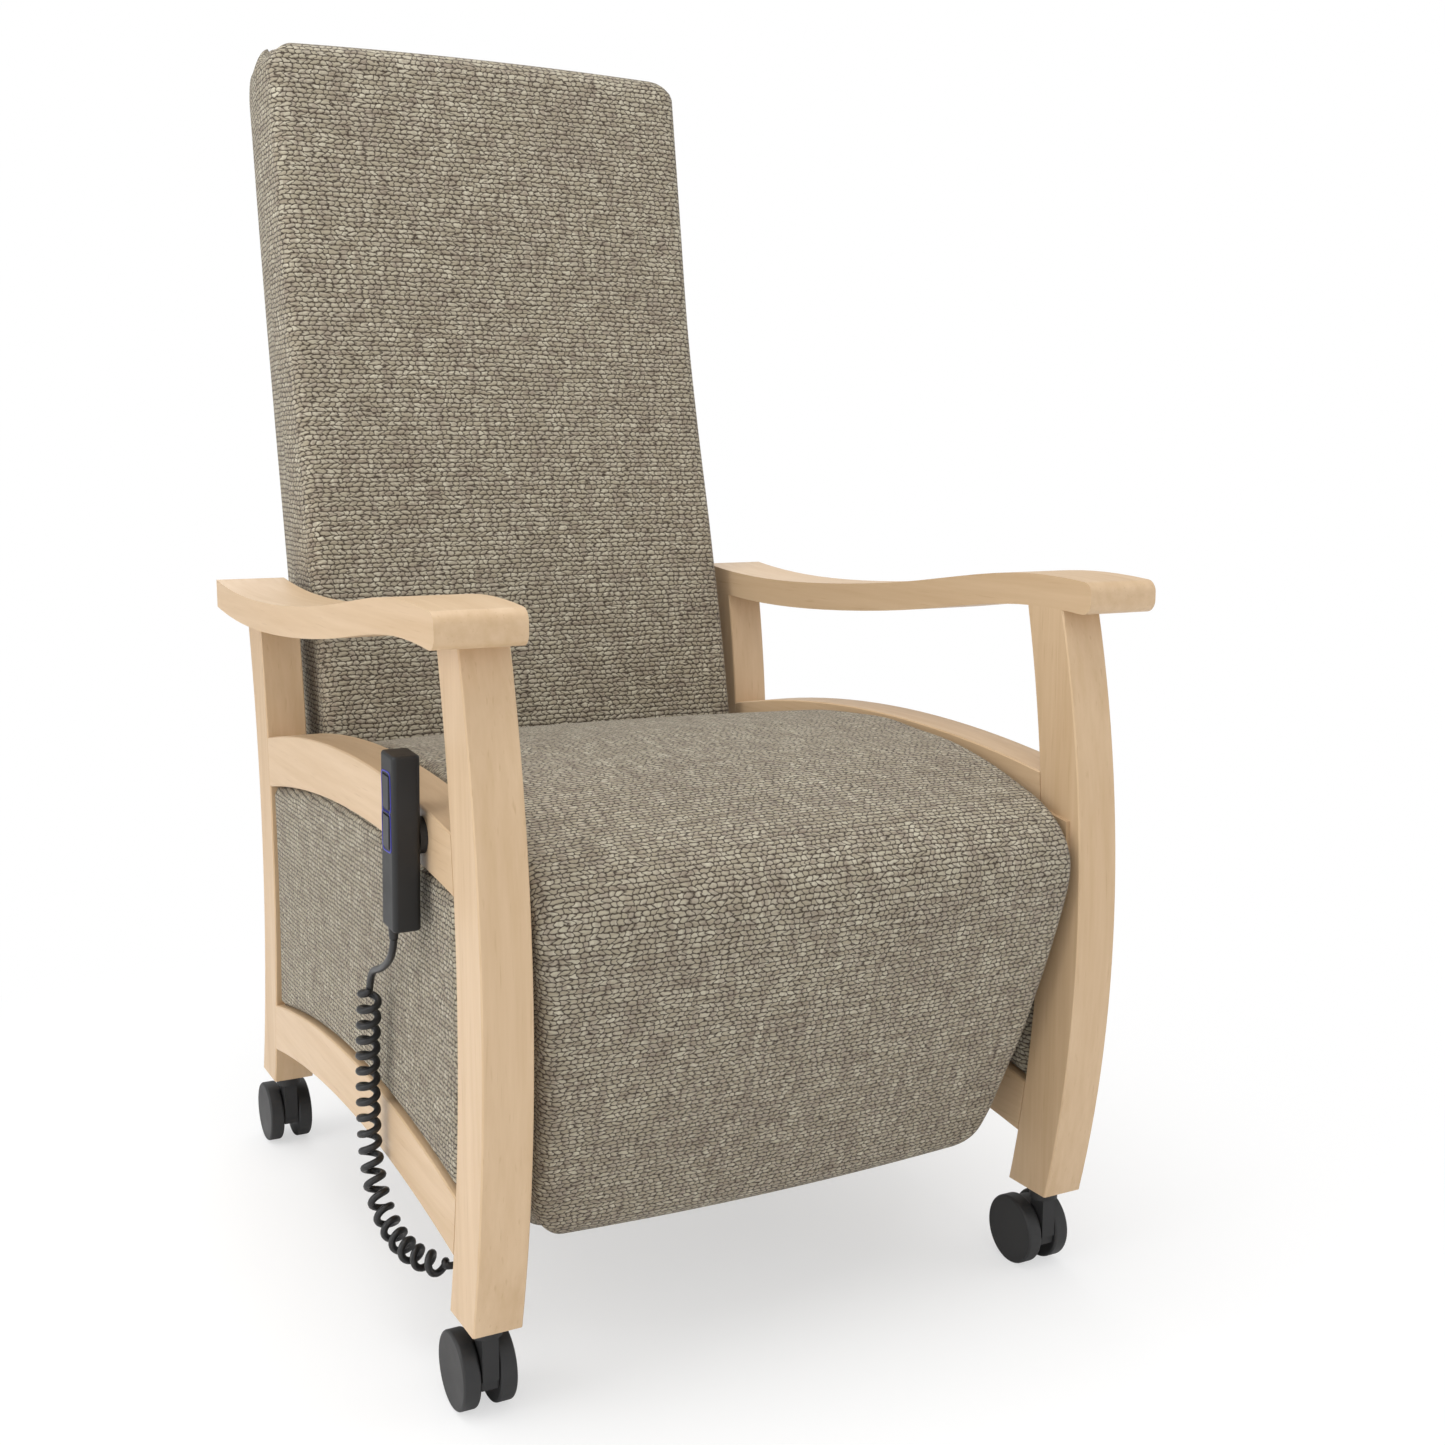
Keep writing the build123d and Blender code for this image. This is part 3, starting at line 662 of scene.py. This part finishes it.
RELIEF_LOW, RELIEF_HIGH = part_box("cord_strain_relief")
TAIL_TOP = tuple((RELIEF_LOW[axis] + RELIEF_HIGH[axis]) / 2 for axis in (0, 1)) + (RELIEF_LOW[2] + 0.0003,)
TAIL = [TAIL_TOP, cord_place(-321.6, 111, 368), cord_place(-320.5, 134, 353), cord_place(-319, 157, 343),
        cord_place(-317.8, 186, 334), cord_place(-317, 197, 314)]
COIL = [TAIL[-1], cord_place(-317, 202, 290), cord_place(-316.5, 210, 256), cord_place(-315.5, 218, 207),
        cord_place(-314.5, 221, 160), cord_place(-313.5, 205, 121), cord_place(-309, 173, 98), cord_place(-300, 133, 91),
        cord_place(-283, 114, 90)]
LEAD = [COIL[-1], cord_place(-265, 110, 91), cord_place(-248, 120, 95), cord_place(-237, 140, 102),
        cord_place(-233, 157, 116), cord_place(-232, 160, 139)]


@dataclass
class Studio:
    """Pale floor, soft lamps, white background and the camera."""

    camera_place: tuple = (-0.721, -1.2134 + FOOT_Y, 0.7682)
    yaw: float = 27.857
    pitch: float = 8.84
    lens: float = 43.36
    floor_half: float = 12.0

    def lamp(self, name: str, place: Sequence[float], size: float, power: float) -> None:
        """A square area lamp aimed at the middle of the chair."""
        light = bpy.data.lights.new(name, "AREA")
        light.size = size
        light.energy = power
        holder = bpy.data.objects.new(name, light)
        holder.location = place
        holder.rotation_euler = (Vector((0, 0, 0.5)) - Vector(place)).to_track_quat("-Z", "Y").to_euler()
        bpy.context.scene.collection.objects.link(holder)

    def build(self) -> None:
        """Set up the camera, lamps, world and floor."""
        scene = bpy.context.scene
        scene.view_settings.view_transform = "Standard"
        lens = bpy.data.cameras.new("camera")
        lens.lens = self.lens
        lens.sensor_width = 36.0
        camera = bpy.data.objects.new("camera", lens)
        camera.location = self.camera_place
        camera.rotation_euler = (radians(90 - self.pitch), 0, radians(-self.yaw))
        scene.collection.objects.link(camera)
        scene.camera = camera
        self.lamp("side", (-2.8, -0.2, 1.5), 2.2, 37)
        self.lamp("top", (-0.5, -0.3, 3.2), 2.2, 48)
        self.lamp("front", (-0.6, -3.0, 1.8), 2.4, 17)
        self.lamp("fill", (2.4, -1.4, 1.6), 2.4, 12)
        self.lamp("rear", (0.6, 2.4, 2.4), 2.2, 16)
        world = bpy.data.worlds.new("studio")
        scene.world = world
        world.use_nodes = True
        tree = world.node_tree
        seen = tree.nodes.new("ShaderNodeLightPath")
        mix = tree.nodes.new("ShaderNodeMixShader")
        plain = tree.nodes.new("ShaderNodeBackground")
        glow = tree.nodes["Background"]
        glow.inputs[0].default_value = (1.0, 1.0, 1.0, 1.0)
        glow.inputs[1].default_value = 0.55
        plain.inputs[0].default_value = (1.0, 1.0, 1.0, 1.0)
        either = tree.nodes.new("ShaderNodeMath")
        either.operation = "MAXIMUM"
        tree.links.new(seen.outputs["Is Camera Ray"], either.inputs[0])
        tree.links.new(seen.outputs["Is Transmission Ray"], either.inputs[1])
        tree.links.new(either.outputs[0], mix.inputs[0])
        tree.links.new(glow.outputs[0], mix.inputs[1])
        tree.links.new(plain.outputs[0], mix.inputs[2])
        tree.links.new(mix.outputs[0], tree.nodes["World Output"].inputs[0])
        reach = self.floor_half
        corners = np.array([(-reach, -reach, 0), (reach, -reach, 0), (reach, reach, 0), (-reach, reach, 0)])
        floor = mesh_object("floor", corners, np.array([[0, 1, 2, 3]]))
        floor.data.materials.append(self.floor_finish())

    def floor_finish(self) -> bpy.types.Material:
        """Pale matt floor that the camera sees fade to plain white away from the chair."""
        graph = Graph("pale_floor")
        material = graph.surface(Base_Color=(0.95, 0.95, 0.95, 1.0), Roughness=0.95)
        far = graph.add("ShaderNodeVectorMath", {"operation": "LENGTH"}, {0: graph.place()}, "Value")
        seen = graph.add("ShaderNodeLightPath", {}, {}, "Is Camera Ray")
        tree = graph.tree
        white = tree.nodes.new("ShaderNodeEmission")
        mix = tree.nodes.new("ShaderNodeMixShader")
        graph.feed(mix.inputs[0], graph.ranged(far, 0.3, 1.1, 0.5, 1.0) * seen)
        tree.links.new(graph.shader.outputs[0], mix.inputs[1])
        tree.links.new(white.outputs[0], mix.inputs[2])
        tree.links.new(mix.outputs[0], tree.nodes["Material Output"].inputs[0])
        return material


class Finishes:
    """Materials made once and laid on the CAD nodes by their record slot."""

    def __init__(self) -> None:
        """Make every finish."""
        beech = Beech()
        self.upright = beech.material(Grain.UPRIGHT)
        self.lengthwise = beech.material(Grain.LENGTHWISE)
        self.cloth = Weave().material()
        self.fine_cloth = Weave("fine_greige_weave", pitch_u=0.0064, pitch_v=0.0043).material()
        self.painted = Metal("painted_bracket", rgb(178, 150, 116), 0.5, 0.0).material()
        self.by_slot = {
            "castor_wheel": Moulded("castor_wheel", rgb(33, 33, 34), 0.55).material(),
            "castor_hood": Moulded("castor_hood", rgb(28, 28, 29), 0.6).material(),
            "handset_plastic": Moulded("handset_plastic", rgb(16, 16, 17), 0.5).material(),
            "rocker": Moulded("rocker", rgb(34, 35, 38), 0.45).material(),
            "cord_rubber": Moulded("cord_rubber", rgb(24, 24, 25), 0.42).material(),
            "drive_plastic": Moulded("drive_plastic", rgb(70, 71, 73), 0.5).material(),
            "frame_steel": Metal("frame_steel", rgb(38, 38, 40), 0.42, 0.0).material(),
            "axle_steel": Metal("axle_steel", rgb(190, 190, 188), 0.3, 1.0).material(),
            "plywood": Plywood().material(),
        }

    def dress(self) -> None:
        """Lay a finish on every CAD node, by its slot."""
        for entry in frame["record"]["subparts"]:
            node = frame["nodes"][entry["node"]]
            name, slot = entry["node"], entry["material_slot"]
            if slot == "beech":
                finish = self.upright if name.endswith("leg") else self.lengthwise
            elif name.endswith("legrest_bracket"):
                finish = self.painted
            else:
                finish = self.by_slot.get(slot, self.cloth)
            node.data.materials.clear()
            node.data.materials.append(finish)


@dataclass
class HandsetMarks:
    """Blue outlines round the two rockers."""

    rise: float = 0.0003
    width: float = 0.0011
    margin: float = 0.0022

    def build(self) -> None:
        """One flat rounded frame per rocker: a ring strip that follows a superellipse of power 6."""
        graph = Graph("blue_mark")
        blue = graph.surface(Base_Color=rgb(44, 44, 170), Roughness=0.4)
        low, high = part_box("handset_body")
        for number in (1, 2):
            first, last = (np.array(corner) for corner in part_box(f"handset_rocker_{number}"))
            middle = (first + last) / 2
            size = (last - first) / 2 + self.margin
            angle = np.linspace(0, 2 * pi, 96, endpoint=False)
            power = 2 / 6
            rings = []
            for grow, lift in ((0.0, 0.0), (0.0, self.rise), (self.width, self.rise), (self.width, 0.0)):
                y = middle[1] + (size[1] + grow) * np.sign(np.cos(angle)) * np.abs(np.cos(angle)) ** power
                z = middle[2] + (size[2] + grow) * np.sign(np.sin(angle)) * np.abs(np.sin(angle)) ** power
                rings.append(np.column_stack([np.full_like(y, low[0] - lift), y, z]))
            points = np.concatenate(rings)
            index = np.arange(len(points)).reshape(4, -1)
            faces = [np.stack([ring, np.roll(ring, -1), np.roll(after, -1), after], axis=-1)
                     for ring, after in zip(index, np.roll(index, -1, axis=0))]
            piece = mesh_object(f"rocker_{number}_outline", points, np.concatenate(faces))
            merged(piece, 1e-7)
            piece.data.materials.append(blue)
            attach(piece, "root")


def main() -> None:
    """Build the chair's looks and the studio."""
    logging.basicConfig(level=logging.INFO)
    finishes = Finishes()
    finishes.dress()
    Studio().build()
    CurlyCord(finishes.by_slot["cord_rubber"]).build(TAIL, COIL, LEAD)
    Upholstery(finishes.cloth, finishes.fine_cloth).build()
    HandsetMarks().build()


if __name__ == "__main__":
    main()
